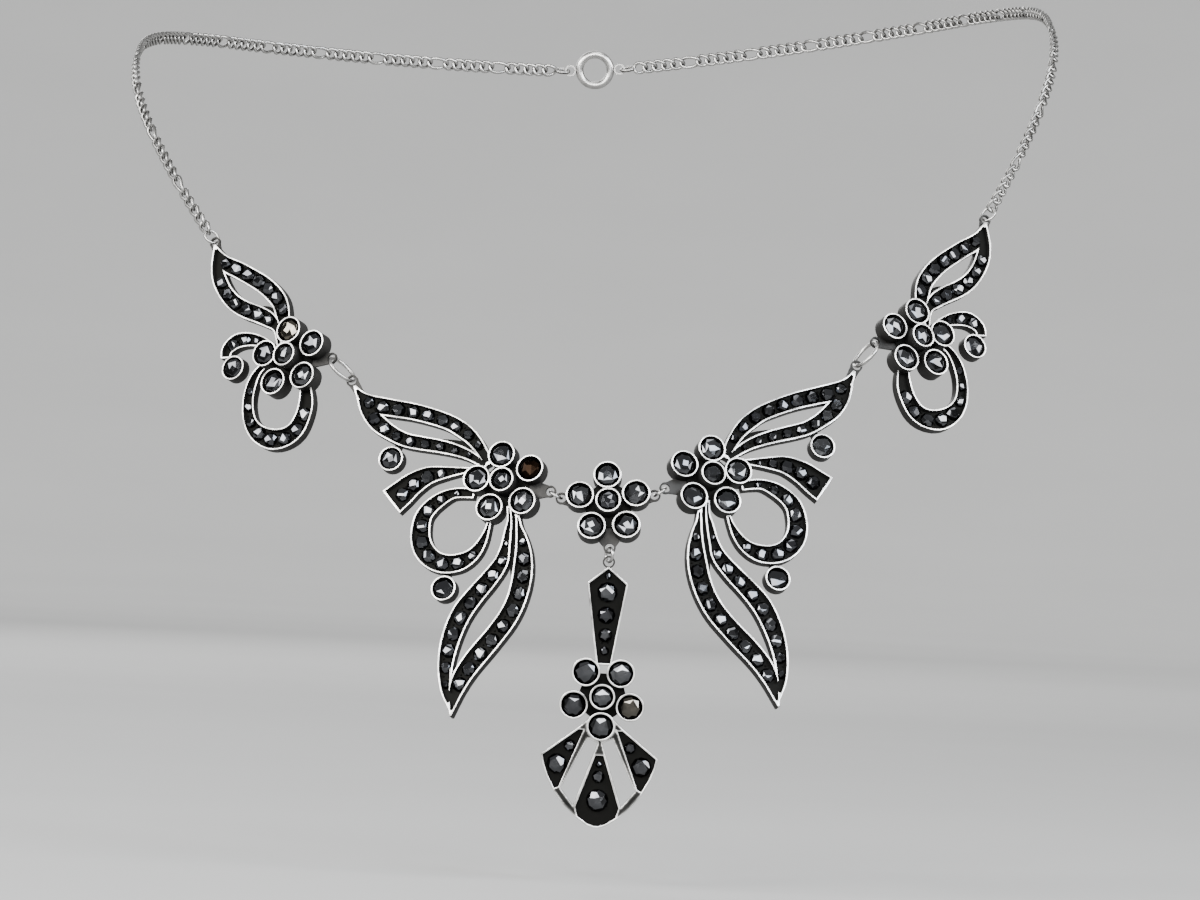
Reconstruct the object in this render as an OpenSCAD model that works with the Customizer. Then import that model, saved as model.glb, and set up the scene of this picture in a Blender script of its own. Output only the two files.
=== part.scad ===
// Marcasite necklace as worn: a flower in the middle with a hinged drop below it, a wing and a
// small shoulder plate on each side, and a fine chain round the neck. The origin is the nape.
// The front faces -Y and +Z is up. Left and right in the names are as seen from the front, so
// the left plates are at -X. All sizes are in millimetres.

/* [Worn shape] */
// How far the plates lean back on the chest, in degrees
lean = 20; // [10:1:30]
// How far each wing turns outward round the chest, in degrees
wing_yaw = 18; // [10:1:25]
// How far each side plate turns outward, in degrees
side_yaw = 31; // [20:1:38]
// How far the whole necklace hangs round to one side as worn, in degrees
worn_roll = 4.5; // [0:0.5:6]

/* [Plates] */
// Thickness of the sheet under the small stones
floor_t = 0.6; // [0.5:0.05:0.8]
// Height of the raised edge of each channel
rim_h = 1.3; // [1.1:0.05:1.35]
// Width of the raised edge of each channel
rim_w = 0.26; // [0.22:0.02:0.34]

/* [Flowers] */
// Radius of one petal's collet
petal_r = 2.0; // [1.9:0.05:2.1]
// Distance from the flower's middle to a petal's middle
petal_reach = 4.15; // [4.1:0.05:4.3]
// Height of a petal's collet above the back of the plate
petal_h = 2.3; // [2.0:0.1:2.6]
// Radius of the middle collet
heart_r = 1.8; // [1.6:0.05:1.85]
// Height of the middle collet above the back of the plate
heart_h = 3.4; // [3.0:0.1:3.8]
// Wall of every collet
collet_wall = 0.26; // [0.22:0.02:0.4]
// Depth of the cup that holds a stone
cup_depth = 0.85; // [0.7:0.05:0.9]

/* [Small stones] */
// Largest radius of a small stone
pave_r = 1.0; // [0.6:0.02:1.04]
// Height of a small stone
pave_h = 0.75; // [0.5:0.05:0.9]
// Play round a stone in its seat
stone_play = 0.06; // [0.05:0.01:0.1]

/* [Rings and chain] */
// Radius of the jump rings' wire
wire_r = 0.2; // [0.17:0.01:0.21]
// Radius of the wire of the rings between the wings and the side plates
outer_wire_r = 0.26; // [0.2:0.01:0.28]
// Radius of the hole in each eye
eye_hole = 0.62; // [0.58:0.01:0.64]
// Width of the metal round an eye's hole
eye_rim = 0.24; // [0.22:0.01:0.26]
// Thickness of each eye and tab
eye_t = 0.35; // [0.3:0.05:0.4]
// Width of the chain as it lies
chain_w = 2.1; // [1.8:0.1:2.4]
// Thickness of the chain
chain_t = 1.1; // [0.9:0.1:1.3]

/* [Hidden] */
$fn = 40;

// Places of the plates' origins: x, y, z and yaw
middle_at = [0, -122.5, -67.2, 0];
wing_at = [14.3, -119, -63, wing_yaw];
side_at = [45, -101.2, -44.3, side_yaw];

// Petals of a flower, their turn round its middle in degrees, and its middle on each plate
petals = 5;
flower_back_r = petal_reach - 0.9;
flower_back_h = 0.9;
flower_turn = -9.5;
wing_flower = [-0.5, -0.95];
side_flower = [-1.45, -1];

// Height of the middle of every eye's hole above the back of its plate
eye_z = 0.4;
eye_r = eye_hole + eye_rim;
eye_middle_r = eye_hole + eye_rim / 2;
// Thickness of a tab, a little less than that of its eye
tab_t = eye_t - 0.04;

// Eyes, as x and y on their own plate
middle_side_eye = [6.5, 1.4];
middle_drop_eye = [0, -6.1];
wing_inner_eye = [-6.9, -2];
wing_tip_eye = [24.2, 15.5];
side_inner_eye = [-7.8, -0.9];
side_tip_eye = [15.7, 17.6];

// Channel tables. Columns: x and y of the channel's middle line, half of its width.
leaf_over = [
    [2.25, 2.0, 0.7], [3.6, 4.2, 0.9], [4.9, 5.8, 1.05], [6.4, 7.1, 1.2], [8.5, 8.4, 1.2],
    [11.1, 9.4, 1.25], [14.2, 10.3, 1.3], [17.2, 10.9, 1.35], [20.4, 11.6, 1.35],
    [22.4, 13.0, 0.7], [23.5, 14.5, 0.2]];
leaf_under = [
    [2.6, 1.8, 0.5], [4.0, 2.7, 0.65], [5.8, 3.7, 0.8], [8.0, 4.5, 0.95], [10.4, 5.1, 1.05],
    [12.8, 5.55, 1.1], [15.1, 6.1, 1.1], [17.3, 7.2, 1.15], [19.4, 8.7, 1.3],
    [21.2, 10.7, 1.1], [22.7, 12.8, 0.4]];
flared = [
    [4.4, 1.3, 0.4], [6.4, 1.2, 0.6], [8.8, 1.0, 1.0], [11.2, 0.6, 1.45], [13.4, -0.6, 1.85],
    [15.0, -2.0, 2.1], [16.4, -3.2, 2.25]];
curl = [
    [4.0, -2.3, 0.7], [5.6, -2.1, 0.8], [7.2, -2.15, 0.85], [8.8, -2.85, 1.1], [10.3, -4.0, 1.25],
    [11.3, -5.4, 1.35], [11.6, -7.1, 1.45], [11.45, -8.9, 1.52], [10.7, -10.6, 1.55],
    [9.2, -12.0, 1.5], [7.2, -12.6, 1.45], [5.1, -12.3, 1.35], [3.4, -11.2, 1.05],
    [2.3, -9.5, 0.75], [1.7, -7.7, 0.45], [1.4, -6.0, 0.3]];
fall_outer = [
    [-1.2, -4.2, 0.35], [-1.5, -6.2, 0.4], [-1.4, -8.0, 0.6], [-1.2, -10.4, 0.8], [-0.7, -12.7, 1.2],
    [0.85, -15.1, 1.4], [2.6, -17.3, 1.5], [4.2, -19.6, 1.6], [5.2, -22.0, 1.55],
    [5.85, -24.7, 1.42], [6.1, -27.3, 1.2], [6.0, -29.4, 1.0], [5.6, -31.6, 0.75],
    [4.8, -34.1, 0.2]];
fall_inner = [
    [-2.2, -4.2, 0.3], [-2.7, -6.0, 0.35], [-3.0, -7.4, 0.5], [-3.5, -9.0, 0.85], [-3.95, -11.2, 1.25],
    [-4.1, -13.6, 1.5], [-3.95, -16.0, 1.55], [-3.4, -18.5, 1.55], [-2.3, -21.0, 1.6],
    [-0.6, -23.5, 1.6], [0.95, -25.5, 1.65], [2.3, -27.3, 1.6], [3.4, -29.1, 1.5],
    [4.15, -31.0, 1.25], [4.5, -33.0, 0.75], [4.7, -35.0, 0.15]];
shoulder_over = [
    [0.3, 1.4, 0.6], [0.7, 3.6, 0.9], [1.3, 5.8, 1.2], [2.2, 7.7, 1.3], [3.8, 9.3, 1.35], [5.8, 10.7, 1.35],
    [8.1, 11.9, 1.32], [10.4, 13.0, 1.3], [12.5, 13.9, 1.2], [14.0, 15.2, 0.8],
    [15.2, 17.0, 0.2]];
shoulder_under = [
    [0.9, 0.7, 0.4], [1.8, 3.6, 0.7], [3.4, 5.0, 1.15], [5.6, 6.0, 1.3], [7.9, 6.8, 1.3],
    [10.0, 7.9, 1.25], [11.8, 9.5, 1.2], [13.2, 11.4, 1.2], [14.1, 13.4, 1.05],
    [14.7, 15.3, 0.62], [15.1, 16.9, 0.22]];
scroll = [
    [2.0, 0.8, 0.6], [4.2, 1.8, 0.85], [6.5, 2.2, 1.1], [8.5, 1.95, 1.25], [9.8, 0.8, 1.1],
    [9.9, -0.6, 0.8]];
horseshoe = [
    [2.6, -1.6, 0.5], [3.9, -2.8, 0.7], [4.6, -4.5, 0.9], [4.8, -6.6, 0.95], [4.5, -8.6, 1.0],
    [3.65, -10.6, 1.1], [2.0, -12.2, 1.35], [-0.4, -13.1, 1.6], [-2.6, -12.9, 1.6],
    [-4.2, -11.8, 1.55], [-5.0, -9.9, 1.4], [-5.2, -8.0, 1.3], [-4.9, -6.2, 1.05],
    [-4.3, -4.4, 0.7]];

// Low webs that close the narrow gap between two channels, with the same columns
web_h = floor_t + 0.1;
leaf_web = [
    [10.4, 6.1, 0.15], [8.4, 5.7, 0.4], [6.8, 5.2, 0.6], [5.2, 4.4, 0.5], [2.4, 2.0, 0.35]];
fall_web = [
    [-1.85, -4.4, 0.5], [-2.25, -7.5, 0.5], [-2.35, -10.0, 0.45], [-2.45, -13.2, 0.45],
    [-2.4, -14.6, 0.15]];
shoulder_web = [[5.6, 7.3, 0.12], [4.2, 6.9, 0.4], [2.9, 6.0, 0.4], [1.5, 4.2, 0.2]];

// Channels with their stones. Columns: table, first and last stone along the line, stones.
wing_channels = [
    [leaf_over, 3.6, 22.4, 9], [leaf_under, 3.4, 19.6, 8], [flared, 2.8, 11.4, 5],
    [curl, 2.7, 24.5, 10], [fall_outer, 5.6, 28.0, 10], [fall_inner, 5.5, 28.5, 10]];
side_channels = [
    [shoulder_over, 5.5, 19.3, 7], [shoulder_under, 5.6, 17.0, 6], [scroll, 3.4, 7.6, 3],
    [horseshoe, 4.8, 21.6, 8]];

// Round collets beside the channels. Columns: x, y, then the place that a bar ties it to.
wing_collets = [[16.9, 3.2, 16.0, 6.3], [7.3, -16.3, 7.2, -13.2]];
side_collets = [[8.1, -2.2, 9.8, -0.4]];
side_collet_r = 1.85;
side_collet_h = rim_h + 0.4;
bar_w = 1;

// The drop, from the middle of its eye downward
drop_kite = [[0, -0.62], [2.87, -2.95], [1.1, -14.4], [-1.1, -14.4], [-2.87, -2.95]];
drop_flower_y = -18.8;
drop_shield = [
    [1.4, -21.6], [3.15, -23.25], [8.2, -27.15], [7.9, -28.6], [7.3, -30.2], [6.2, -32.2],
    [4.7, -34.1], [2.9, -35.8], [1.4, -36.8], [0.4, -37.15]];
drop_slot = [[0.3, -25.3], [1.75, -24.7], [5.2, -31.85], [3.35, -34.15]];
drop_ray = [
    [2.0, -23.3], [3.15, -23.25], [8.2, -27.15], [7.9, -28.6], [7.3, -30.2], [6.2, -32.2],
    [5.3, -31.8]];
drop_middle_ray = [[0.75, -26.8], [3.3, -34.3], [2.9, -35.8], [1.4, -36.8], [0.4, -37.15]];
// Stones of the drop. Columns: x, y, radius.
drop_stones = [
    [0, -1.95, 0.4], [0, -4.2, 1.2], [0, -7.4, 1.05], [0, -10.2, 0.85], [0, -12.4, 0.55],
    [0, -28.3, 0.4], [0, -30.0, 0.75], [0, -33.3, 1.3],
    [4.2, -25.8, 0.72], [-4.2, -25.8, 0.72], [5.9, -28.4, 1.2], [-5.9, -28.4, 1.2]];

// Route of the chain on one side, from the side plate's ring over the shoulder to the nape
chain_route = [
    [57, -87.2, -25.2], [60.4, -85, -19.5], [64.5, -79.8, -11.4], [66.9, -73.3, -4.8],
    [67.5, -64, 0.6], [66, -50, 4], [60, -33, 4.8], [48, -18, 3.8], [32, -8, 2.2],
    [16, -2.2, 0.8], [5.2, -0.2, 0]];
// Rings of the chain's tube for each stretch of its route
chain_steps = 3;
chain_sides = 8;

// Clasp at the nape
clasp_r = 2.4;
clasp_wire = 0.6;
clasp_eye_x = 3.8;

// Width of the middle line of the ring at the lower end of the chain
chain_ring_d = 2.2;

// Drop ring: radius of its middle line, and its turn away from the front in degrees
drop_ring_r = 1;
drop_ring_turn = 28;

flowers = ["middle", "wing_left", "wing_right", "side_left", "side_right", "drop"];
function stone_name(flower, k) = str(flower, "_stone_", k);
stone_nodes = [for (f = flowers, k = [0:petals]) stone_name(f, k)];

// A smooth line through the rows of a table, in every column
function smooth(rows, i, t) =
    let (n = len(rows), a = rows[max(i - 1, 0)], b = rows[i], c = rows[i + 1],
         d = rows[min(i + 2, n - 1)])
    0.5 * (2 * b + (c - a) * t + (2 * a - 5 * b + 4 * c - d) * t * t
        + (3 * b - a - 3 * c + d) * t * t * t);
function line_of(rows, steps) = concat(
    [for (i = [0:len(rows) - 2], s = [0:steps - 1]) smooth(rows, i, s / steps)],
    [rows[len(rows) - 1]]);

// Outline of a channel, drawn in from its edge by some width
function across(line, k) =
    let (a = line[max(k - 1, 0)], b = line[min(k + 1, len(line) - 1)])
    [a[1] - b[1], b[0] - a[0]] / norm([b[0] - a[0], b[1] - a[1]]);
function edge_point(line, k, inset, way) =
    [line[k][0], line[k][1]] + way * (line[k][2] - inset) * across(line, k);
function outline(line, inset) =
    let (ends = inset > 0 ? 1 : 0,
         kept = [for (k = [ends:len(line) - 1 - ends]) if (line[k][2] > inset + 0.08) k],
         n = len(kept))
    concat([for (k = kept) edge_point(line, k, inset, 1)],
           [for (j = [1:n]) edge_point(line, kept[n - j], inset, -1)]);

// An outline whose points run clockwise, drawn in from all its sides
function side_normal(a, b) = [b[1] - a[1], a[0] - b[0]] / norm(b - a);
function drawn_in(points, inset) =
    let (n = len(points))
    [for (i = [0:n - 1])
        let (before = side_normal(points[(i + n - 1) % n], points[i]),
             after = side_normal(points[i], points[(i + 1) % n]))
        points[i] + inset * (before + after) / (1 + before * after)];

// Places along a line at a given distance from its start
function lengths(line) = [
    for (i = 0, d = 0; i < len(line);
         d = d + (i + 1 < len(line) ? norm([for (c = [0, 1]) line[i + 1][c] - line[i][c]]) : 0),
         i = i + 1) d];
function along(line, far, d) =
    let (i = max([for (k = [0:len(line) - 2]) if (far[k] <= d) k]),
         t = (d - far[i]) / (far[i + 1] - far[i]))
    line[i] * (1 - t) + line[i + 1] * t;

// Stones of one channel as x, y, radius
function channel_stones(channel) =
    let (line = line_of(channel[0], 6), far = lengths(line), n = channel[3],
         pitch = (channel[2] - channel[1]) / (n - 1))
    [for (k = [0:n - 1])
        let (p = along(line, far, channel[1] + k * pitch))
        [p[0], p[1], min(pave_r, p[2] - rim_w - stone_play, pitch / 2 - stone_play)]];

// Directions of a plate: to its outer side, up along it and out of its face
function plate_x(yaw) = [cos(yaw), sin(yaw), 0];
function plate_y(yaw) = [-sin(yaw) * sin(lean), cos(yaw) * sin(lean), cos(lean)];
function plate_z(yaw) = [sin(yaw) * cos(lean), -cos(yaw) * cos(lean), sin(lean)];
function on_plate(at, p, z) =
    [at[0], at[1], at[2]] + p[0] * plate_x(at[3]) + p[1] * plate_y(at[3]) + z * plate_z(at[3]);

// Where the drop hangs, after the necklace has turned on the neck
drop_hole = on_plate(middle_at, middle_drop_eye, eye_z);
ring_top = [
    drop_hole[0] * cos(worn_roll) - drop_hole[2] * sin(worn_roll),
    drop_hole[1],
    drop_hole[0] * sin(worn_roll) + drop_hole[2] * cos(worn_roll)];
drop_eye_at = ring_top - [0, 0, 2 * drop_ring_r];

module on_neck(left) {
    rotate([0, -worn_roll, 0])
        mirror([left ? 1 : 0, 0, 0])
            children();
}

module plate_frame(at) {
    translate([at[0], at[1], at[2]])
        rotate([0, 0, at[3]])
            rotate([90 - lean, 0, 0])
                children();
}

module channel_metal(rows) {
    linear_extrude(rim_h)
        polygon(outline(line_of(rows, 4), 0));
}

module web_metal(rows) {
    linear_extrude(web_h)
        polygon(outline(line_of(rows, 4), 0));
}

module channel_pocket(rows) {
    translate([0, 0, floor_t])
        linear_extrude(rim_h)
            polygon(outline(line_of(rows, 4), rim_w));
}

module bar(from, to, width, height) {
    way = to - from;
    translate([from[0], from[1], 0])
        rotate([0, 0, atan2(way[1], way[0])])
            translate([0, -width / 2, 0])
                cube([norm(way), width, height]);
}

module collet(r, height) {
    difference() {
        cylinder(r = r, h = height);
        translate([0, 0, height - cup_depth])
            cylinder(r = r - collet_wall, h = cup_depth + 1);
    }
}

module flower_metal(turn) {
    cylinder(r = flower_back_r, h = flower_back_h);
    for (k = [0:petals - 1])
        rotate([0, 0, 90 + turn + k * 360 / petals])
            translate([petal_reach, 0, 0])
                collet(petal_r, petal_h);
    collet(heart_r, heart_h);
}

module eye(at) {
    translate([at[0], at[1], eye_z - eye_t / 2])
        difference() {
            cylinder(r = eye_r, h = eye_t);
            translate([0, 0, -1])
                cylinder(r = eye_hole, h = eye_t + 2);
        }
}

// A tab that runs from the flower to an eye, narrow at the eye
module tab(from, at, root_w) {
    way = (at - from) / norm(at - from);
    side = [-way[1], way[0]];
    difference() {
        translate([0, 0, eye_z - tab_t / 2])
            linear_extrude(tab_t)
                polygon([from + side * root_w / 2, from - side * root_w / 2,
                         at - side * eye_r * 0.9, at + side * eye_r * 0.9]);
        translate([at[0], at[1], -1])
            cylinder(r = eye_middle_r, h = 4);
    }
    eye(at);
}

module channels_metal(channels, webs) {
    difference() {
        union() {
            for (c = channels)
                channel_metal(c[0]);
            for (w = webs)
                web_metal(w);
        }
        for (c = channels)
            channel_pocket(c[0]);
    }
}

module middle_flower() {
    color("silver")
        on_neck(false)
            plate_frame(middle_at) {
                flower_metal(0);
                tab([0, -3], middle_drop_eye, 6.2);
                for (way = [-1, 1])
                    tab([way * 3, 0.6], [way * middle_side_eye[0], middle_side_eye[1]], 2.4);
            }
}

module wing_plate() {
    channels_metal(wing_channels, [leaf_web, fall_web]);
    translate([wing_flower[0], wing_flower[1], 0])
        flower_metal(flower_turn);
    for (c = wing_collets) {
        translate([c[0], c[1], 0])
            collet(side_collet_r, side_collet_h);
        bar([c[0], c[1]], [c[2], c[3]], bar_w, floor_t);
    }
    tab([-3, -1.6], wing_inner_eye, 3.6);
    tab([22.6, 13.2], wing_tip_eye, 1.2);
}

module side_plate() {
    channels_metal(side_channels, [shoulder_web]);
    translate([side_flower[0], side_flower[1], 0])
        flower_metal(flower_turn);
    for (c = side_collets) {
        translate([c[0], c[1], 0])
            collet(side_collet_r, side_collet_h);
        bar([c[0], c[1]], [c[2], c[3]], bar_w, floor_t);
    }
    tab([-4.2, -1], side_inner_eye, 2.6);
    tab([14.6, 15.3], side_tip_eye, 1.2);
}

module wing(left) {
    color("silver")
        on_neck(left)
            plate_frame(wing_at)
                wing_plate();
}

module side(left) {
    color("silver")
        on_neck(left)
            plate_frame(side_at)
                side_plate();
}

module hanging(at) {
    translate(at)
        rotate([90, 0, 0])
            translate([0, 0, -eye_z])
                children();
}

module drop_plate() {
    shield = concat(drop_shield, [for (i = [len(drop_shield) - 1:-1:0])
        [-drop_shield[i][0], drop_shield[i][1]]]);
    middle_ray = concat(drop_middle_ray, [for (i = [len(drop_middle_ray) - 1:-1:0])
        [-drop_middle_ray[i][0], drop_middle_ray[i][1]]]);
    difference() {
        union() {
            linear_extrude(rim_h)
                polygon(drop_kite);
            linear_extrude(rim_h)
                polygon(shield);
        }
        translate([0, 0, floor_t]) {
            linear_extrude(rim_h)
                polygon(drawn_in(drop_kite, rim_w));
            linear_extrude(rim_h)
                polygon(drawn_in(middle_ray, rim_w));
            for (way = [0, 1])
                mirror([way, 0, 0])
                    linear_extrude(rim_h)
                        polygon(drawn_in(drop_ray, rim_w));
        }
        for (way = [0, 1])
            mirror([way, 0, 0])
                translate([0, 0, -1])
                    linear_extrude(rim_h + 2)
                        polygon(drop_slot);
        translate([0, 0, -1])
            cylinder(r = eye_middle_r, h = rim_h + 2);
    }
    translate([0, drop_flower_y, 0])
        flower_metal(180);
    eye([0, 0]);
}

module drop() {
    color("silver")
        hanging(drop_eye_at)
            drop_plate();
}

// A cut stone with a table: one row of facets for a small one, two for a main one
module small_stone(r) {
    translate([0, 0, stone_play])
        cylinder(h = pave_h * (0.6 + 0.4 * r / pave_r), r1 = r, r2 = r * 0.5, $fn = 8);
}

function octagon(r, z, turn) = [for (k = [0:7]) [r * cos(k * 45 + turn), r * sin(k * 45 + turn), z]];

module main_stone(r) {
    levels = concat(octagon(r, 0, 0), octagon(r * 0.86, r * 0.3, 22.5),
                    octagon(r * 0.45, r * 0.55, 0));
    walls = [for (row = [0, 1], k = [0:7])
        let (a = row * 8 + k, b = row * 8 + (k + 1) % 8, c = a + 8, d = b + 8,
             before = row * 8 + 8 + (k + 7) % 8)
        each row == 0 ? [[a, c, b], [b, c, d]] : [[a, d, b], [a, c, d]]];
    translate([0, 0, stone_play])
        polyhedron(points = levels,
                   faces = concat([[for (k = [0:7]) k]], walls, [[for (k = [7:-1:0]) 16 + k]]));
}

module pave(stones, seat) {
    for (s = stones)
        translate([s[0], s[1], seat])
            small_stone(s[2]);
}

module plate_pave(channels, collets) {
    for (c = channels)
        pave(channel_stones(c), floor_t);
    for (c = collets)
        translate([c[0], c[1], side_collet_h - cup_depth])
            main_stone(side_collet_r - collet_wall - stone_play);
}

module wing_pave(left) {
    color("dimgray")
        on_neck(left)
            plate_frame(wing_at)
                plate_pave(wing_channels, wing_collets);
}

module side_pave(left) {
    color("dimgray")
        on_neck(left)
            plate_frame(side_at)
                plate_pave(side_channels, side_collets);
}

module drop_pave() {
    color("dimgray")
        hanging(drop_eye_at)
            pave(drop_stones, floor_t);
}

// Stone k of a flower: the petals in turn, and the middle one last
module flower_stone(turn, k) {
    if (k < petals)
        rotate([0, 0, 90 + turn + k * 360 / petals])
            translate([petal_reach, 0, petal_h - cup_depth])
                main_stone(petal_r - collet_wall - stone_play);
    else
        translate([0, 0, heart_h - cup_depth])
            main_stone(heart_r - collet_wall - stone_play);
}

module stone_of(flower, k) {
    color("dimgray") {
        if (flower == "middle")
            on_neck(false)
                plate_frame(middle_at)
                    flower_stone(0, k);
        if (flower == "wing_left" || flower == "wing_right")
            on_neck(flower == "wing_left")
                plate_frame(wing_at)
                    translate([wing_flower[0], wing_flower[1], 0])
                        flower_stone(flower_turn, k);
        if (flower == "side_left" || flower == "side_right")
            on_neck(flower == "side_left")
                plate_frame(side_at)
                    translate([side_flower[0], side_flower[1], 0])
                        flower_stone(flower_turn, k);
        if (flower == "drop")
            hanging(drop_eye_at)
                translate([0, drop_flower_y, 0])
                    flower_stone(180, k);
    }
}

// A round of wire through two eyes. At no turn it stands square to the plates.
module link_between(a, b, face, turn, wire) {
    long = (b - a) / norm(b - a);
    flat = cross(long, cross(face, long));
    out = flat / norm(flat);
    front = out * cos(turn) + cross(long, out) * sin(turn);
    up = cross(long, front);
    middle = (a + b) / 2;
    multmatrix([
        [long[0], front[0], up[0], middle[0]],
        [long[1], front[1], up[1], middle[1]],
        [long[2], front[2], up[2], middle[2]],
        [0, 0, 0, 1]])
        rotate_extrude()
            translate([norm(b - a) / 2, 0])
                circle(r = wire, $fn = 24);
}

module inner_ring(left) {
    color("silver")
        on_neck(left)
            link_between(on_plate(middle_at, middle_side_eye, eye_z),
                         on_plate(wing_at, wing_inner_eye, eye_z), plate_z(wing_yaw / 2), 18,
                         wire_r);
}

module outer_ring(left) {
    color("silver")
        on_neck(left)
            link_between(on_plate(wing_at, wing_tip_eye, eye_z),
                         on_plate(side_at, side_inner_eye, eye_z), plate_z(side_yaw), 10,
                         outer_wire_r);
}

module chain_ring(left) {
    start = on_plate(side_at, side_tip_eye, eye_z);
    way = chain_route[1] - start;
    color("silver")
        on_neck(left)
            link_between(start, start + way / norm(way) * chain_ring_d, plate_z(side_yaw), 30,
                         wire_r);
}

module drop_ring() {
    color("silver")
        translate(ring_top - [0, 0, drop_ring_r])
            rotate([90, 0, 90 + drop_ring_turn])
                rotate_extrude()
                    translate([drop_ring_r, 0])
                        circle(r = wire_r, $fn = 24);
}

// The chain as a flat tube: each ring of the tube stands square to the route
function neck_out(p) = let (v = [p[0], p[1] + 62, 25]) v / norm(v);
function chain_ring_points(line, k) =
    let (way = line[min(k + 1, len(line) - 1)] - line[max(k - 1, 0)],
         wide = cross(way, neck_out(line[k])) / norm(cross(way, neck_out(line[k]))),
         thick = cross(wide, way) / norm(cross(wide, way)))
    [for (s = [0:chain_sides - 1])
        line[k] + wide * cos(s * 360 / chain_sides) * chain_w / 2
            + thick * sin(s * 360 / chain_sides) * chain_t / 2];

module chain_tube() {
    line = line_of(chain_route, chain_steps);
    n = len(line);
    points = [for (k = [0:n - 1]) each chain_ring_points(line, k)];
    walls = [for (k = [0:n - 2], s = [0:chain_sides - 1])
        let (a = k * chain_sides + s, b = k * chain_sides + (s + 1) % chain_sides)
        each [[a, b, a + chain_sides], [b, b + chain_sides, a + chain_sides]]];
    polyhedron(
        points = points,
        faces = concat([[for (s = [chain_sides - 1:-1:0]) s]], walls,
                       [[for (s = [0:chain_sides - 1]) (n - 1) * chain_sides + s]]));
}

module chain(left) {
    color("silver")
        on_neck(left)
            chain_tube();
}

module clasp() {
    color("silver")
        on_neck(false)
            rotate([90, 0, 0]) {
                rotate_extrude()
                    translate([clasp_r, 0])
                        circle(r = clasp_wire, $fn = 24);
                for (way = [-1, 1])
                    translate([0, 0, -eye_z])
                        eye([way * clasp_eye_x, 0]);
            }
}

middle_flower();
wing(true);  // wing_left
wing(false);  // wing_right
side(true);  // side_left
side(false);  // side_right
drop();
wing_pave(true);  // wing_left_pave
wing_pave(false);  // wing_right_pave
side_pave(true);  // side_left_pave
side_pave(false);  // side_right_pave
drop_pave();
drop_ring();
inner_ring(true);  // inner_ring_left
inner_ring(false);  // inner_ring_right
outer_ring(true);  // outer_ring_left
outer_ring(false);  // outer_ring_right
chain_ring(true);  // chain_ring_left
chain_ring(false);  // chain_ring_right
chain(true);  // chain_left
chain(false);  // chain_right
clasp();
for (f = flowers, k = [0:petals])
    stone_of(f, k);
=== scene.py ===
from collections import Counter
from math import atan2, cos, pi, radians, sin
from random import Random

import bpy
import numpy as np
from mathutils import Matrix, Vector


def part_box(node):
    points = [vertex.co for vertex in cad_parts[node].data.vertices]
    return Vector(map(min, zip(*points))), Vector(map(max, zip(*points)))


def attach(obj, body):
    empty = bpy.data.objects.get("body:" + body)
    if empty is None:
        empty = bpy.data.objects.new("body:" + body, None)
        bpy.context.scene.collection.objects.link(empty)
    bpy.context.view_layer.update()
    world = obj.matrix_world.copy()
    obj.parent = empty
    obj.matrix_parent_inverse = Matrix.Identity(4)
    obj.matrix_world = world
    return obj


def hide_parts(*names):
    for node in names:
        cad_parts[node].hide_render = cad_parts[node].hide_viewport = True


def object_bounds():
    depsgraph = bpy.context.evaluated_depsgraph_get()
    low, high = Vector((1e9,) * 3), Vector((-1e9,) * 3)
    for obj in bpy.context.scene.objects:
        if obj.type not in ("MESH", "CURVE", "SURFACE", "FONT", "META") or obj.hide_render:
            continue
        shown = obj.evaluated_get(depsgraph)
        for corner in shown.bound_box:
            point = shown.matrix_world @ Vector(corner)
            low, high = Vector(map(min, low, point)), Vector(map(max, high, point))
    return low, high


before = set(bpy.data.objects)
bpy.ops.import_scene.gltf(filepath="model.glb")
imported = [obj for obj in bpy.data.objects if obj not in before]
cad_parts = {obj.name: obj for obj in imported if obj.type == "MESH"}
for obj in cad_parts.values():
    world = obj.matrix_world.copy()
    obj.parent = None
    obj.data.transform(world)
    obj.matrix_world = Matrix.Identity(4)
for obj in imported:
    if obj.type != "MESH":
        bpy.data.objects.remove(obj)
cad_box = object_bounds()

# Camera: a portrait lens a little over a metre in front of the necklace and level with it.
# The photograph is turned a few degrees clockwise, so the camera is rolled as much.
mm = 0.001
view_distance = 1100 * mm
view_target = Vector((3.7, -122.5, -59.0)) * mm
view_roll = radians(-2.83)
view_width = 168 * mm
sensor_width_mm = 36
nearest_seen = 50 * mm

bpy.ops.object.camera_add(location=view_target - Vector((0, view_distance, 0)),
                          rotation=(radians(90), view_roll, 0))
camera = bpy.context.object
camera.name = "portrait_camera"
camera.data.sensor_width = sensor_width_mm
camera.data.lens = sensor_width_mm * view_distance / view_width
camera.data.clip_start = nearest_seen
bpy.context.scene.camera = camera

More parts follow.
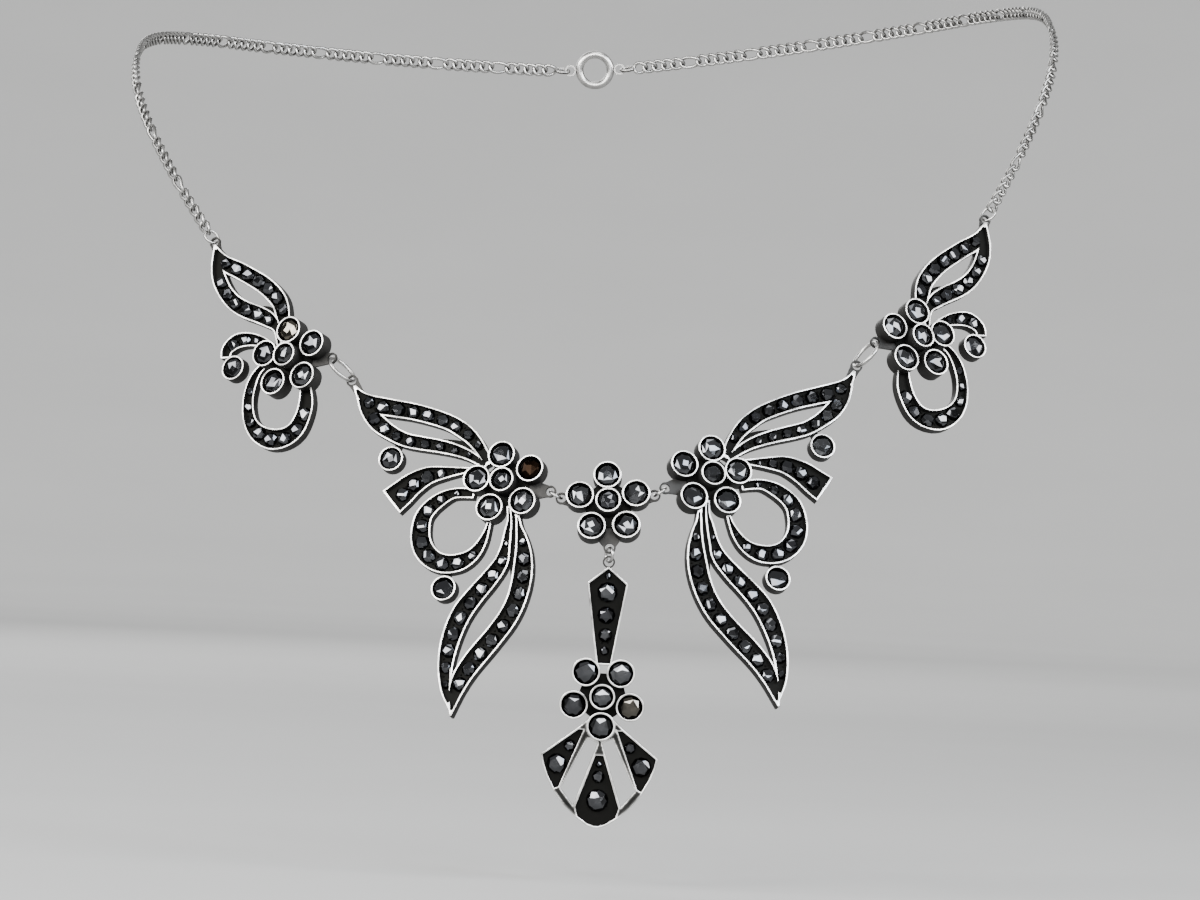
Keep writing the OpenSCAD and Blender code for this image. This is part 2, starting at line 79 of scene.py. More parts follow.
# Studio light: a half ring of soft boxes in front, the strongest on the left, with one overhead
# and one behind, over a pale room. Two more light the walls behind the necklace and behind the
# camera, which the polished edges reflect. The cut stones need the boxes for their glints.
soft_boxes = {
    # name: place, what it is aimed at, width and height in metres, power in watts, colour
    "key_box": ((-0.75, -0.95, 0.55), view_target, 0.45, 0.45, 20, (1.0, 0.985, 0.96)),
    "fill_box": ((0.78, -0.9, 0.6), view_target, 0.44, 0.44, 16, (0.86, 0.92, 1.0)),
    "left_box": ((-1.12, -0.42, 0.55), view_target, 0.46, 0.46, 14, (1.0, 1.0, 1.0)),
    "right_box": ((1.12, -0.42, 0.55), view_target, 0.46, 0.46, 14, (1.0, 1.0, 1.0)),
    "middle_box": ((0, -1.1, 0.82), view_target, 0.34, 0.28, 6, (1.0, 1.0, 1.0)),
    "front_box": ((0, -1.35, 0.4), view_target, 0.9, 0.26, 18, (1.0, 1.0, 1.0)),
    "top_box": ((0.1, -0.25, 0.95), view_target, 0.6, 0.4, 4, (1.0, 1.0, 1.0)),
    "back_box": ((-0.3, 0.95, 0.35), view_target, 0.8, 0.5, 7, (1.0, 1.0, 1.0)),
    "front_wall_box": ((0, -1.9, 1.3), (0, -3.4, 0.1), 1.2, 0.6, 120, (1.0, 1.0, 1.0)),
    "back_wall_box": ((0, 1.2, 1.3), (0, 3.4, 0.4), 2.4, 0.6, 84, (1.0, 1.0, 1.0)),
}
room_colour = (0.86, 0.87, 0.88, 1)
room_strength = 0.72

for box_name, (place, aim, box_width, box_height, power, tint) in soft_boxes.items():
    way = Vector(aim) - Vector(place)
    bpy.ops.object.light_add(type="AREA", location=place,
                             rotation=way.to_track_quat("-Z", "Y").to_euler())
    soft_box = bpy.context.object
    soft_box.name = box_name
    soft_box.data.shape = "RECTANGLE"
    soft_box.data.size = box_width
    soft_box.data.size_y = box_height
    soft_box.data.energy = power
    soft_box.data.color = tint

room = bpy.data.worlds.new("pale_room")
room.use_nodes = True
room_light = room.node_tree.nodes["Background"]
room_light.inputs["Color"].default_value = room_colour
room_light.inputs["Strength"].default_value = room_strength
bpy.context.scene.world = room

# Floor: a plain pale studio floor that curves up all round, far from the necklace, so that no
# edge of it shows from any side. It is plaster, sanded and painted matt.
floor_drop = 8 * mm
floor_radius = 1.7
floor_sides = 96
bowl_bend = 2.3
bowl_steps = 24
paint_dark = (0.25, 0.25, 0.247, 1)
paint_light = (0.275, 0.275, 0.272, 1)


def new_material(name):
    """A material with its shader, a function that adds a node, and the links between nodes."""
    material = bpy.data.materials.new(name)
    material.use_nodes = True
    nodes = material.node_tree.nodes
    links = material.node_tree.links

    def add(kind, sources=(), **settings):
        node = nodes.new(kind)
        for key, value in settings.items():
            if hasattr(node, key):
                setattr(node, key, value)
            else:
                node.inputs[key].default_value = value
        for socket, source in dict(sources).items():
            links.new(source, node.inputs[socket])
        return node

    return material, nodes["Principled BSDF"], add, links


matt_paint, shader, add, links = new_material("pale_matt_paint")
place_on = add("ShaderNodeTexCoord")
mottle = add("ShaderNodeTexNoise", {"Vector": place_on.outputs["Object"]}, Scale=9.0, Detail=3.0)
paint_tone = add("ShaderNodeMix", {"Factor": mottle.outputs["Fac"]}, data_type="RGBA")
paint_tone.inputs["A"].default_value = paint_dark
paint_tone.inputs["B"].default_value = paint_light
links.new(paint_tone.outputs["Result"], shader.inputs["Base Color"])
shader.inputs["Roughness"].default_value = 0.85

floor_z = cad_box[0].z - floor_drop
bpy.ops.object.select_all(action="DESELECT")
bpy.ops.mesh.primitive_circle_add(vertices=floor_sides, radius=floor_radius + bowl_bend,
                                  location=(0, 0, floor_z + bowl_bend))
floor = bpy.context.object
floor.name = "studio_floor"
bpy.ops.object.mode_set(mode="EDIT")
bpy.ops.mesh.select_all(action="SELECT")
for step in range(bowl_steps):
    before, after = radians(90 * step / bowl_steps), radians(90 * (step + 1) / bowl_steps)
    shrink = (floor_radius + bowl_bend * cos(after)) / (floor_radius + bowl_bend * cos(before))
    bpy.ops.mesh.extrude_edges_move(
        TRANSFORM_OT_translate={"value": (0, 0, bowl_bend * (sin(before) - sin(after)))})
    bpy.ops.transform.resize(value=(shrink, shrink, 1), center_override=(0, 0, floor_z))
bpy.ops.mesh.edge_face_add()
bpy.ops.mesh.select_all(action="SELECT")
bpy.ops.mesh.normals_make_consistent(inside=True)
bpy.ops.object.mode_set(mode="OBJECT")
bpy.ops.object.shade_smooth()
bpy.ops.object.transform_apply(location=True, rotation=True, scale=True)
floor.data.materials.append(matt_paint)

# Soldered plates: the middle flower, two wings, two side plates and the drop. Each real one is
# silver sheet with raised channels and collets soldered on, blackened in the recesses, and
# polished on every raised edge. Their walls and tabs are darker still, partly blackening and
# partly painted shade, and the drop's wide flats have painted shade inside and a painted
# highlight along their edges. The pieces keep the CAD plates' shapes, with eased edges.
plate_nodes = {
    "middle_flower": "necklace",
    "wing_left": "necklace",
    "wing_right": "necklace",
    "side_left": "necklace",
    "side_right": "necklace",
    "drop": "drop",
}
edge_ease = 0.07 * mm
ease_steps = 3
flat_cut = 0.15 * mm
# Width of the painted highlight along the edges of the drop's flats, and how far it fades inwards
painted_highlight_width = 0.12 * mm
line_fade = 0.1 * mm
merge_gap = 0.0015 * mm
merge_angle = radians(0.6)
smooth_angle = radians(32)
# Heights above the flat back: a tab stays below low_level, and rims and collets end at edge_levels
low_level = 0.59 * mm
tab_levels = [0.555 * mm, 0.575 * mm]
edge_levels = [1.3 * mm, 1.7 * mm, 2.3 * mm, 3.4 * mm]
# How far a height may be off a level: for flats, and for flats with their eased edges
flat_play = 0.01 * mm
eased_play = 0.09 * mm
# How squarely a face looks outwards: 1 is flat on, 0 is a wall, and less than 0 is a back
top_facing = 0.995
flat_facing = 0.97
side_facing = 0.2
edge_facing = 0.1
back_facing = -0.2
# A plate's back is looked for within narrower and narrower angles
back_searches = [radians(40), radians(12), radians(3)]
# How bright each place is: 0 is black, and 1 is bright. It is polish and blackening, with painted
# shade on walls and tabs and inside the drop's wide flats
flat_polish = 0.94
# Walls and tabs are darker than the rims: partly blackened silver and partly painted shade
wall_polish_and_painted_shade = 0.4
tab_polish_and_painted_shade = 0.4
back_polish = 1.08
# Painted shade in the middle of the drop's wide flats
flat_middle_painted_shade = 0.2
wear_strength = 0.4
wear_offset = -0.22
# Tones of the silver. Columns: polish and painted light, colour
silver_tones = [
    (0.05, (0.007, 0.007, 0.0065, 1)),
    (0.5, (0.045, 0.0441, 0.04275, 1)),
    (0.84, (0.16, 0.1568, 0.152, 1)),
    (0.97, (0.82, 0.81, 0.79, 1)),
]


def merged_copy(node, name):
    """A piece with a CAD node's shape, its doubles merged and its flat faces made whole."""
    bpy.ops.object.select_all(action="DESELECT")
    piece = bpy.data.objects.new(name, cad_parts[node].data.copy())
    bpy.context.collection.objects.link(piece)
    bpy.context.view_layer.objects.active = piece
    piece.select_set(True)
    piece.data.materials.clear()
    bpy.ops.mesh.customdata_custom_splitnormals_clear()
    bpy.ops.object.mode_set(mode="EDIT")
    bpy.ops.mesh.select_all(action="SELECT")
    bpy.ops.mesh.remove_doubles(threshold=merge_gap)
    bpy.ops.mesh.dissolve_limited(angle_limit=merge_angle)
    bpy.ops.object.mode_set(mode="OBJECT")
    return piece


def out_and_back(mesh):
    """The way that a plate faces, and how far along it the plate's flat back lies."""
    out = Vector((0, -1, 0))
    for angle in back_searches:
        back = Vector()
        for face in mesh.polygons:
            if face.normal.dot(out) < -cos(angle):
                back += face.normal * face.area
        out = -back.normalized()
    return out, min(vertex.co.dot(out) for vertex in mesh.vertices)


def near_level(height, levels, play):
    return any(abs(height - level) < play for level in levels)


def ease_edges(piece):
    """Rounds each edge where a rim's or a collet's flat top meets a wall that falls from it."""
    mesh = piece.data
    out, back = out_and_back(mesh)
    flat, falling = set(), set()
    for face in mesh.polygons:
        height = face.center.dot(out) - back
        if face.normal.dot(out) > flat_facing and near_level(height, edge_levels, flat_play):
            flat.update(face.edge_keys)
        for key in face.edge_keys:
            if height < max(mesh.vertices[point].co.dot(out) for point in key) - back - flat_play:
                falling.add(key)
    weights = mesh.attributes.new("bevel_weight_edge", "FLOAT", "EDGE")
    weights.data.foreach_set("value", [float(edge.key in flat and edge.key in falling)
                                       for edge in mesh.edges])
    ease = piece.modifiers.new("eased_edges", "BEVEL")
    ease.width = edge_ease
    ease.segments = ease_steps
    ease.limit_method = "WEIGHT"
    ease.use_clamp_overlap = False
    bpy.ops.object.modifier_apply(modifier=ease.name)


def on_top(face, out, back):
    return (face.normal.dot(out) > top_facing
            and near_level(face.center.dot(out) - back, edge_levels, eased_play))


def cut_flats(piece):
    """Cuts a plate's flats into small squares, so that the wide ones can take painted shade
    inside.
    """
    mesh = piece.data
    out, back = out_and_back(mesh)
    # The flats get a material slot of their own for a while, so that each cut can select them
    mesh.materials.append(None)
    mesh.materials.append(None)
    for face in mesh.polygons:
        face.material_index = int(on_top(face, out, back))
    piece.active_material_index = 1
    across = out.cross(Vector((0, 0, 1))).normalized()
    cuts = []
    for way in (across, out.cross(across)):
        spots = [mesh.vertices[point].co.dot(way) for face in mesh.polygons
                 if face.material_index for point in face.vertices]
        cuts += [(way, min(spots) + (number + 0.5) * flat_cut)
                 for number in range(int((max(spots) - min(spots)) / flat_cut))]
    bpy.ops.object.mode_set(mode="EDIT")
    bpy.ops.mesh.select_mode(type="FACE")
    for way, place in cuts:
        bpy.ops.mesh.select_all(action="DESELECT")
        bpy.ops.object.material_slot_select()
        bpy.ops.mesh.bisect(plane_co=way * place, plane_no=way)
    bpy.ops.object.mode_set(mode="OBJECT")
    mesh.materials.clear()
    for face in mesh.polygons:
        face.material_index = 0


def reach_from_edges(mesh, out, back):
    """How far each point of the flats lies from the nearest edge of a flat."""
    flats = [face for face in mesh.polygons if on_top(face, out, back)]
    uses = Counter(key for face in flats for key in face.edge_keys)
    border = np.array([key for key, count in uses.items() if count == 1])
    points = np.array([vertex.co for vertex in mesh.vertices])
    starts = points[border[:, 0]]
    runs = points[border[:, 1]] - starts
    above_zero = 1e-18
    squares = np.maximum((runs ** 2).sum(axis=1), above_zero)
    reach = {}
    for point in {point for face in flats for point in face.vertices}:
        shares = np.clip(((points[point] - starts) * runs).sum(axis=1) / squares, 0, 1)
        gaps = points[point] - starts - shares[:, None] * runs
        reach[point] = np.sqrt((gaps ** 2).sum(axis=1).min())
    return reach


def mark_polish_and_painted_light(piece, painted_shade_in_flats):
    """Notes each corner's brightness: 1 on a raised edge, 0 in a blackened recess, less with
    painted shade.
    """
    out, back = out_and_back(piece.data)
    heights = [vertex.co.dot(out) - back for vertex in piece.data.vertices]
    reach = reach_from_edges(piece.data, out, back) if painted_shade_in_flats else {}
    polish_and_painted_light = [0.0] * len(piece.data.loops)
    for face in piece.data.polygons:
        facing = face.normal.dot(out)
        height = face.center.dot(out) - back
        on_edge = near_level(height, edge_levels, eased_play)
        low = max(heights[point] for point in face.vertices) < low_level
        for corner in face.loop_indices:
            point = piece.data.loops[corner].vertex_index
            depth = min(abs(level - heights[point]) for level in edge_levels)
            if facing > top_facing and on_edge:
                # Painted shade in the middle of a wide flat, with a painted highlight in a thin
                # line along its edges
                inside = min(1, max(0, (reach.get(point, 0) - painted_highlight_width) / line_fade))
                polish_and_painted_light[corner] = flat_polish + (flat_middle_painted_shade - flat_polish) * inside
            elif facing > edge_facing and on_edge:
                fade = min(1, depth / edge_ease) ** 2
                polish_and_painted_light[corner] = 1 - (1 - wall_polish_and_painted_shade) * fade
            elif facing < back_facing:
                polish_and_painted_light[corner] = back_polish
            # A tab or a low wall is painted darker: partly blackening and partly painted shade
            elif low and (facing < side_facing or near_level(height, tab_levels, flat_play)):
                polish_and_painted_light[corner] = tab_polish_and_painted_shade
            # A wall is painted darker than the rims: partly blackening and partly painted shade
            elif facing < flat_facing:
                polish_and_painted_light[corner] = wall_polish_and_painted_shade
    mark = piece.data.attributes.new("polish_and_painted_light", "FLOAT", "CORNER")
    mark.data.foreach_set("value", polish_and_painted_light)


plate_silver, shader, add, links = new_material("silver_blackened_polished_and_painted_shade")
place_on = add("ShaderNodeTexCoord")
mark = add("ShaderNodeAttribute", attribute_name="polish_and_painted_light")
wear = add("ShaderNodeTexNoise", {"Vector": place_on.outputs["Object"]},
           Scale=420.0, Detail=5.0, Roughness=0.6)
wear_shift = add("ShaderNodeMath", {0: wear.outputs["Fac"]}, operation="MULTIPLY_ADD")
wear_shift.inputs[1].default_value = wear_strength
wear_shift.inputs[2].default_value = wear_offset
polish_wear_and_painted_light = add("ShaderNodeMath", {0: mark.outputs["Fac"], 1: wear_shift.outputs[0]},
           operation="ADD", use_clamp=True)
silver_tone = add("ShaderNodeValToRGB", {"Fac": polish_wear_and_painted_light.outputs[0]})
tone_stops = silver_tone.color_ramp.elements
tone_stops.remove(tone_stops[1])
for polish_and_painted_light, tone in silver_tones:
    tone_stops.new(polish_and_painted_light).color = tone
tone_stops.remove(tone_stops[0])
silver_gloss = add("ShaderNodeMapRange", {"Value": polish_wear_and_painted_light.outputs[0]})
silver_gloss.inputs["From Min"].default_value = 0.3
silver_gloss.inputs["To Min"].default_value = 0.62
silver_gloss.inputs["To Max"].default_value = 0.33
scratches = add("ShaderNodeTexNoise", {"Vector": place_on.outputs["Object"]},
                Scale=5200.0, Detail=2.0)
scratch_bump = add("ShaderNodeBump", {"Height": scratches.outputs["Fac"]})
scratch_bump.inputs["Strength"].default_value = 0.12
scratch_bump.inputs["Distance"].default_value = 0.02 * mm
links.new(silver_tone.outputs["Color"], shader.inputs["Base Color"])
links.new(silver_gloss.outputs["Result"], shader.inputs["Roughness"])
links.new(scratch_bump.outputs["Normal"], shader.inputs["Normal"])
shader.inputs["Metallic"].default_value = 1.0

plates = {}
for node, body in plate_nodes.items():
    plate = merged_copy(node, node + "_plate")
    ease_edges(plate)
    if node == "drop":
        cut_flats(plate)
    mark_polish_and_painted_light(plate, painted_shade_in_flats=node == "drop")
    bpy.ops.object.shade_smooth_by_angle(angle=smooth_angle)
    plate.data.materials.append(plate_silver)
    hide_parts(node)
    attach(plate, body)
    plates[node] = plate

# Main stones: a round marcasite in every collet, cut from iron pyrites with a flat base, a
# girdle, a crown of facets and a table, and held by the collet's edge pressed over it.
stone_sink = 0.08 * mm
stone_swell = 1.015
stone_lean = 7.0
mirror_gloss = (0.03, 0.09)
dull_gloss = (0.16, 0.3)
stones_in_flower = 6
flower_bodies = {
    "middle": "necklace",
    "wing_left": "necklace",
    "wing_right": "necklace",
    "side_left": "necklace",
    "side_right": "necklace",
    "drop": "drop",
}
# One stone is reddish brown, and two others are a little warm
reddish_stones = {"wing_left_stone_1"}
warm_stones = {"side_left_stone_0", "drop_stone_1"}


def cut_stone(name, rings):
    """A cut stone of radius 1 and height 1 over rings of points, closed as a convex solid."""
    bpy.ops.object.select_all(action="DESELECT")
    for number, (height, radius, count, turn, aside) in enumerate(rings):
        bpy.ops.mesh.primitive_circle_add(vertices=count, radius=radius,
                                          location=(aside, 0, height),
                                          rotation=(0, 0, radians(turn)))
        if number == 0:
            stone = bpy.context.object
            bpy.ops.object.mode_set(mode="EDIT")
    bpy.ops.mesh.select_all(action="SELECT")
    bpy.ops.mesh.convex_hull()
    bpy.ops.mesh.normals_make_consistent(inside=False)
    bpy.ops.object.mode_set(mode="OBJECT")
    bpy.ops.object.transform_apply(location=True, rotation=True, scale=True)
    stone.name = name
    return stone


def stone_places(node):
    """Base middle, way out, radius and height of each loose stone of a CAD node."""
    merged_copy(node, "stones_to_measure")
    bpy.ops.object.mode_set(mode="EDIT")
    bpy.ops.mesh.select_all(action="SELECT")
    bpy.ops.mesh.separate(type="LOOSE")
    bpy.ops.object.mode_set(mode="OBJECT")
    places = []
    for part in list(bpy.context.selected_objects):
        base = max(part.data.polygons, key=lambda face: face.area)
        out = -base.normal
        middle = base.center.copy()
        points = [vertex.co for vertex in part.data.vertices]
        places.append((middle, out.normalized(),
                       max((points[number] - middle).length for number in base.vertices),
                       max((point - middle).dot(out) for point in points)))
    bpy.ops.object.delete()
    return sorted(places, key=lambda place: (round(place[0].x, 6), round(place[0].z, 6)))


def set_stone(model, name, place, chance, lean, grow):
    """A copy of the cut stone in its seat, leaning and turned by chance, with its own tone."""
    middle, out, radius, height = place
    stone = bpy.data.objects.new(name, model.data.copy())
    bpy.context.collection.objects.link(stone)
    size = radius * grow
    stone.data.transform(
        Matrix.Translation(middle - out * stone_sink)
        @ out.to_track_quat("Z", "Y").to_matrix().to_4x4()
        @ Matrix.Rotation(radians(chance.uniform(-lean, lean)), 4, "X")
        @ Matrix.Rotation(chance.uniform(0, 2 * pi), 4, "Z")
        @ Matrix.Diagonal((size, size, height + stone_sink, 1)))
    tone = stone.data.attributes.new("stone_tone", "FLOAT", "POINT")
    tone.data.foreach_set("value", [chance.random()] * len(stone.data.vertices))
    return stone


def marcasite(name, dark, light, gloss_range):
    """Cut pyrites: a metallic stone with glossy facets and fine growth marks, painted dark as
    shade.
    """
    material, shader, add, links = new_material(name)
    place_on = add("ShaderNodeTexCoord")
    tone = add("ShaderNodeAttribute", attribute_name="stone_tone")
    cloud = add("ShaderNodeTexNoise", {"Vector": place_on.outputs["Object"]},
                Scale=700.0, Detail=1.5)
    blend = add("ShaderNodeMath", {0: tone.outputs["Fac"], 1: cloud.outputs["Fac"]},
                operation="MULTIPLY")
    colour = add("ShaderNodeMix", {"Factor": blend.outputs[0]}, data_type="RGBA")
    colour.inputs["A"].default_value = dark
    colour.inputs["B"].default_value = light
    gloss = add("ShaderNodeMapRange", {"Value": cloud.outputs["Fac"]})
    gloss.inputs["To Min"].default_value, gloss.inputs["To Max"].default_value = gloss_range
    links.new(colour.outputs["Result"], shader.inputs["Base Color"])
    links.new(gloss.outputs["Result"], shader.inputs["Roughness"])
    shader.inputs["Metallic"].default_value = 1.0
    return material


# The stones are painted far darker than real pyrites: a painted shade for the dark surroundings
# they reflect
grey_marcasite = marcasite("grey_marcasite", dark=(0.045, 0.046, 0.05, 1),
                           light=(0.13, 0.134, 0.14, 1), gloss_range=mirror_gloss)
reddish_marcasite = marcasite("reddish_marcasite", dark=(0.003, 0.002, 0.0014, 1),
                              light=(0.009, 0.005, 0.003, 1), gloss_range=dull_gloss)
warm_marcasite = marcasite("warm_marcasite", dark=(0.05, 0.047, 0.041, 1),
                           light=(0.17, 0.156, 0.13, 1), gloss_range=mirror_gloss)
tinted_stones = dict.fromkeys(reddish_stones, reddish_marcasite)
tinted_stones.update(dict.fromkeys(warm_stones, warm_marcasite))

# Rings of the cut. Columns: height, radius, points, turn in degrees, distance off the middle
large_rings = [
    (0.0, 1.0, 16, 0, 0),
    (0.24, 1.0, 16, 0, 0),
    (0.64, 0.87, 8, 0, 0),
    (0.9, 0.68, 5, 22.5, 0),
    (1.0, 0.32, 4, 22.5, -0.05),
]
large_cut = cut_stone("large_cut", large_rings)
for flower, body in flower_bodies.items():
    for number in range(stones_in_flower):
        node = f"{flower}_stone_{number}"
        chance = Random(node)
        stone = set_stone(large_cut, node + "_cut", stone_places(node)[0], chance,
                          lean=stone_lean, grow=stone_swell)
        stone.data.materials.append(tinted_stones.get(node, grey_marcasite))
        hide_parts(node)
        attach(stone, body)

# Small stones: rows of little marcasites in the channels of each plate. They sit on a bed of
# blackened silver, and grains raised from the bed between them hold them down.
pave_nodes = {
    "wing_left_pave": "wing_left",
    "wing_right_pave": "wing_right",
    "side_left_pave": "side_left",
    "side_right_pave": "side_right",
    "drop_pave": "drop",
}
floor_level = 0.6 * mm
floor_play = 0.02 * mm
bed_rise = 0.03 * mm
grain_radius = 0.17 * mm
grain_sink = 0.05 * mm
grain_reach = 0.62
grain_polish = 0.85
small_swell = 1.1
small_lean = 12.0
drop_swell = 1.2
neighbour_reach = 2.7 * mm
large_radius = 1.3 * mm
# Rings of the cut. Columns: height, radius, points, turn in degrees, distance off the middle
small_rings = [
    (0.0, 1.0, 10, 0, 0),
    (0.3, 0.98, 10, 0, 0),
    (0.72, 0.8, 6, 0, 0),
    (0.92, 0.64, 4, 20, 0.03),
    (1.0, 0.5, 3, 65, -0.06),
]

small_cut = cut_stone("small_cut", small_rings)
bpy.ops.object.select_all(action="DESELECT")
bpy.ops.mesh.primitive_uv_sphere_add(segments=8, ring_count=5, radius=grain_radius)
grain_model = bpy.context.object
bpy.ops.object.shade_smooth()


def bed_of(plate, name):
    """The floors of a plate's channels as one thin sheet of their own."""
    bpy.ops.object.select_all(action="DESELECT")
    bed = bpy.data.objects.new(name, plate.data.copy())
    bpy.context.collection.objects.link(bed)
    bpy.context.view_layer.objects.active = bed
    bed.select_set(True)
    out, back = out_and_back(bed.data)
    for face in bed.data.polygons:
        height = face.center.dot(out) - back
        on_floor = abs(height - floor_level) < floor_play
        face.select = not (face.normal.dot(out) > flat_facing and on_floor)
    bpy.ops.object.mode_set(mode="EDIT")
    bpy.ops.mesh.select_mode(type="FACE")
    bpy.ops.mesh.delete(type="FACE")
    bpy.ops.mesh.select_all(action="SELECT")
    bpy.ops.mesh.extrude_region_move(
        TRANSFORM_OT_translate={"value": out * bed_rise, "orient_type": "GLOBAL"})
    bpy.ops.mesh.select_all(action="SELECT")
    bpy.ops.mesh.normals_make_consistent(inside=False)
    bpy.ops.object.mode_set(mode="OBJECT")
    return bed


def grain_places(places):
    """Two places beside each gap between neighbouring stones of a row."""
    grains = []
    for number, (middle, out, radius, height) in enumerate(places):
        for other in places[number + 1:]:
            gap = other[0] - middle
            if gap.length < neighbour_reach and max(radius, other[2]) < large_radius:
                aside = out.cross(gap).normalized() * (radius + other[2]) / 2 * grain_reach
                halfway = middle + gap / 2
                grains += [(halfway + aside, out), (halfway - aside, out)]
    return grains


for node, plate_name in pave_nodes.items():
    chance = Random(node)
    places = stone_places(node)
    swell = drop_swell if plate_name == "drop" else small_swell
    field = bed_of(plates[plate_name], node + "_stones")
    field.data.materials.clear()
    field.data.materials.append(plate_silver)
    field.data.materials.append(grey_marcasite)
    members = []
    for place in places:
        model = large_cut if place[2] > large_radius else small_cut
        stone = set_stone(model, node + "_set", place, chance, lean=small_lean, grow=swell)
        stone.data.materials.append(grey_marcasite)
        members.append(stone)
    for middle, out in grain_places(places):
        grain = bpy.data.objects.new(node + "_grain", grain_model.data.copy())
        bpy.context.collection.objects.link(grain)
        grain.data.transform(Matrix.Translation(middle - out * grain_sink))
        grain.data.materials.append(plate_silver)
        mark = grain.data.attributes.new("polish_and_painted_light", "FLOAT", "POINT")
        mark.data.foreach_set("value", [grain_polish] * len(grain.data.vertices))
        members.append(grain)
    bpy.ops.object.select_all(action="DESELECT")
    for member in members:
        member.select_set(True)
    field.select_set(True)
    bpy.context.view_layer.objects.active = field
    bpy.ops.object.join()
    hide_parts(node)
    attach(field, "drop" if plate_name == "drop" else "necklace")
bpy.data.objects.remove(grain_model)
bpy.data.objects.remove(small_cut)
bpy.data.objects.remove(large_cut)

# Jump rings and clasp: rings of round silver wire, bent shut, that join the plates to each
# other, to the drop and to the chain. The clasp at the back is a plain ring with two eyes.
wire_nodes = {
    "drop_ring": "drop_ring",
    "inner_ring_left": "necklace",
    "inner_ring_right": "necklace",
    "outer_ring_left": "necklace",
    "outer_ring_right": "necklace",
    "chain_ring_left": "necklace",
    "chain_ring_right": "necklace",
    "clasp": "necklace",
}
ring_polish = 0.45
ring_smooth_angle = radians(40)
tarnish_strength = 0.5
tarnish_offset = -0.25
tarnished_tone = (0.03, 0.029, 0.027, 1)
rubbed_tone = (0.80, 0.79, 0.77, 1)

wire_silver, shader, add, links = new_material("tarnished_silver_wire")
place_on = add("ShaderNodeTexCoord")
mark = add("ShaderNodeAttribute", attribute_name="polish_and_painted_light")
tarnish = add("ShaderNodeTexNoise", {"Vector": place_on.outputs["Object"]},
              Scale=900.0, Detail=4.0, Roughness=0.6)
tarnish_shift = add("ShaderNodeMath", {0: tarnish.outputs["Fac"]}, operation="MULTIPLY_ADD")
tarnish_shift.inputs[1].default_value = tarnish_strength
tarnish_shift.inputs[2].default_value = tarnish_offset
rubbed_and_highlit = add("ShaderNodeMath", {0: mark.outputs["Fac"], 1: tarnish_shift.outputs[0]},
             operation="ADD", use_clamp=True)
wire_tone = add("ShaderNodeMix", {"Factor": rubbed_and_highlit.outputs[0]}, data_type="RGBA")
wire_tone.inputs["A"].default_value = tarnished_tone
wire_tone.inputs["B"].default_value = rubbed_tone
wire_gloss = add("ShaderNodeMapRange", {"Value": rubbed_and_highlit.outputs[0]})
wire_gloss.inputs["To Min"].default_value = 0.42
wire_gloss.inputs["To Max"].default_value = 0.12
links.new(wire_tone.outputs["Result"], shader.inputs["Base Color"])
links.new(wire_gloss.outputs["Result"], shader.inputs["Roughness"])
shader.inputs["Metallic"].default_value = 1.0

for node, body in wire_nodes.items():
    wire = merged_copy(node, node + "_wire")
    bpy.ops.object.shade_smooth_by_angle(angle=ring_smooth_angle)
    mark = wire.data.attributes.new("polish_and_painted_light", "FLOAT", "POINT")
    mark.data.foreach_set("value", [ring_polish] * len(wire.data.vertices))
    wire.data.materials.append(wire_silver)
    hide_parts(node)
    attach(wire, body)

# Chain: two lengths of flat curb chain, five short links and then a long one. Each link is
# silver wire bent to an oval, twisted so that the links lie flat, and pressed. The first link
# goes through the ring on the side plate, and the last one, left plain, through the clasp's eye.
ring_radius = 1.1 * mm
ring_wire = 0.2 * mm
eye_rim_middle = 0.74 * mm
eye_rim_half = 0.12 * mm
link_wire = 0.25 * mm
link_half_width = 0.8 * mm
link_twist = 0.27 * mm
short_half = 1.0 * mm
long_half = 1.6 * mm
short_pitch = 1.475 * mm
long_pitch = short_pitch + 2 * (long_half - short_half)
link_stretches = 16
wire_sides = 6
links_in_group = 6
turning_links = 4
crest_wear_and_painted_highlight = 0.62
# Points of the right side's route in millimetres, before the necklace is turned as worn
chain_route = [
    (60.4, -85, -19.5), (64.5, -79.8, -11.4), (66.9, -73.3, -4.8), (67.5, -64, 0.6),
    (66, -50, 4), (60, -33, 4.8), (48, -18, 3.8), (32, -8, 2.2), (16, -2.2, 0.8),
    (5.2, -0.2, 0), (3.8, 0, 0)]
route_steps = 24
loop_middle = (0, -62, -25)
worn_roll = radians(4.5)


def bent_link(name, half_length, twist):
    """One link round the origin, along X, with the tops of its wire bright: rubbed wear and a
    painted highlight.
    """
    bpy.ops.object.select_all(action="DESELECT")
    bpy.ops.mesh.primitive_torus_add(major_segments=link_stretches, minor_segments=wire_sides,
                                     major_radius=link_half_width, minor_radius=link_wire)
    link = bpy.context.object
    link.name = name
    # The crests are painted bright, partly rubbed wear and partly a painted highlight
    crests = [(vertex.co.z / link_wire) ** 2 for vertex in link.data.vertices]
    mark = link.data.attributes.new("polish_and_painted_light", "FLOAT", "POINT")
    mark.data.foreach_set("value", [crest_wear_and_painted_highlight * crest for crest in crests])
    for vertex in link.data.vertices:
        x, y, z = vertex.co
        reach = Vector((x, y)).length
        along, across = x / reach, y / reach
        rim = reach - link_half_width
        vertex.co = (along * (half_length + rim), across * (link_half_width + rim),
                     z + twist * 2 * along * across)
    bpy.ops.object.shade_smooth()
    return link


